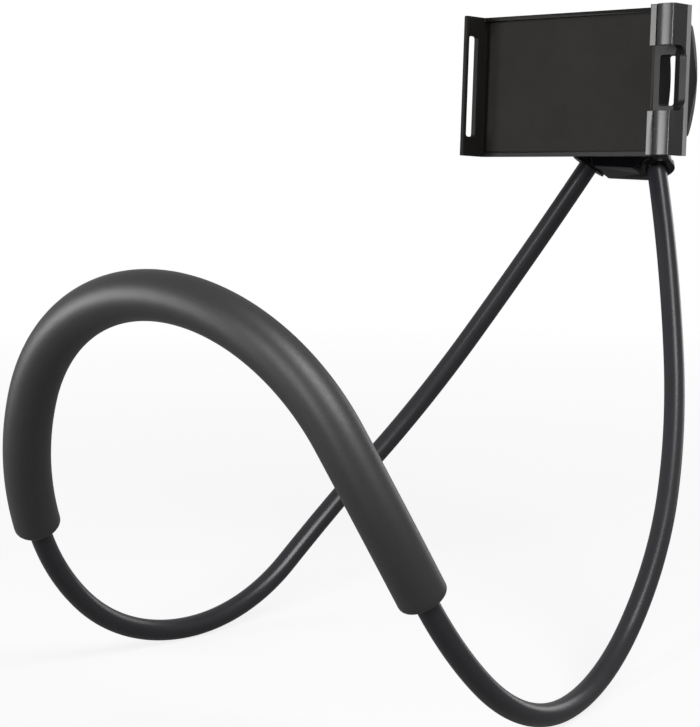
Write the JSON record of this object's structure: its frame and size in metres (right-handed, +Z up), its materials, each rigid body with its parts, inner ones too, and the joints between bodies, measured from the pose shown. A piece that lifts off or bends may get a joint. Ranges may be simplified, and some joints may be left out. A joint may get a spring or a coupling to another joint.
{
  "type": "neck phone holder",
  "caption": "Hands-free phone holder: a bendable jacketed loop with a foam neck sleeve, joined at a yoke whose ball joint carries a spring-loaded clamp.",
  "frame": {"origin": "middle of the foam sleeve's centreline, at the nape of the wearer's neck", "axes": "+Y forward from the nape to the clamp, +X to the wearer's right, +Z up"},
  "size_m": [0.2528, 0.4092, 0.3271],
  "materials": {
    "foam": "matte closed-cell foam, dark grey",
    "jacket": "satin rubber, blue-black",
    "core": "plain soft aluminium wire",
    "yoke_plastic": "glossy black",
    "joint_plastic": "glossy black",
    "ring_plastic": "satin black",
    "liner_nylon": "natural nylon",
    "tray_plastic": "satin black",
    "pad_rubber": "matte warm dark grey",
    "cover_plastic": "satin black",
    "jaw_plastic": "glossy black",
    "lip_plastic": "glossy dark grey",
    "screw_steel": "zinc-plated steel",
    "spring_steel": "bright spring steel"
  },
  "bodies": {
    "neck_loop": {"neck_foam": "foam", "arm_jacket": "jacket", "arm_core": "core", "yoke_front": "yoke_plastic", "yoke_rear": "yoke_plastic", "yoke_screws": "screw_steel", "grub_screws": "screw_steel", "ball_arm": "joint_plastic"},
    "liner": {"ball_liner": "liner_nylon"},
    "socket": {"ball_socket": "joint_plastic", "socket_washer": "screw_steel", "socket_screw": "screw_steel"},
    "ring": {"lock_ring": "ring_plastic"},
    "clamp": {"tray": "tray_plastic", "tray_pad": "pad_rubber", "rear_cover": "cover_plastic", "cover_screws": "screw_steel", "upper_spring": "spring_steel", "lower_spring": "spring_steel"},
    "jaw": {"moving_jaw": "jaw_plastic", "upper_lip": "lip_plastic", "lower_lip": "lip_plastic"}
  },
  "joints": [
    {"name": "ball_tilt", "type": "hinge", "parent": "neck_loop", "child": "liner", "pos_m": [0, 0.36067, 0.08125], "axis": [1, 0, 0], "range_deg": [-25, 25]},
    {"name": "ball_swivel", "type": "hinge", "parent": "liner", "child": "socket", "pos_m": [0, 0.36067, 0.08125], "axis": [-0.0303, 0.0926, 0.9952], "range_deg": [-20, 20]},
    {"name": "clamp_spin", "type": "hinge", "parent": "socket", "child": "clamp", "pos_m": [0, 0.36067, 0.08125], "axis": [0.1472, 0.9853, -0.0872], "continuous": true},
    {"name": "ring_turn", "type": "hinge", "parent": "socket", "child": "ring", "pos_m": [0, 0.36067, 0.08125], "axis": [0.1472, 0.9853, -0.0872], "range_deg": [0, 300]},
    {"name": "jaw_slide", "type": "slide", "parent": "clamp", "child": "jaw", "axis": [0.9886, -0.1439, 0.0435], "range_m": [0, 0.05], "stiffness_N_per_m": 180, "springref_m": -0.015, "deforming": ["upper_spring", "lower_spring"]}
  ]
}
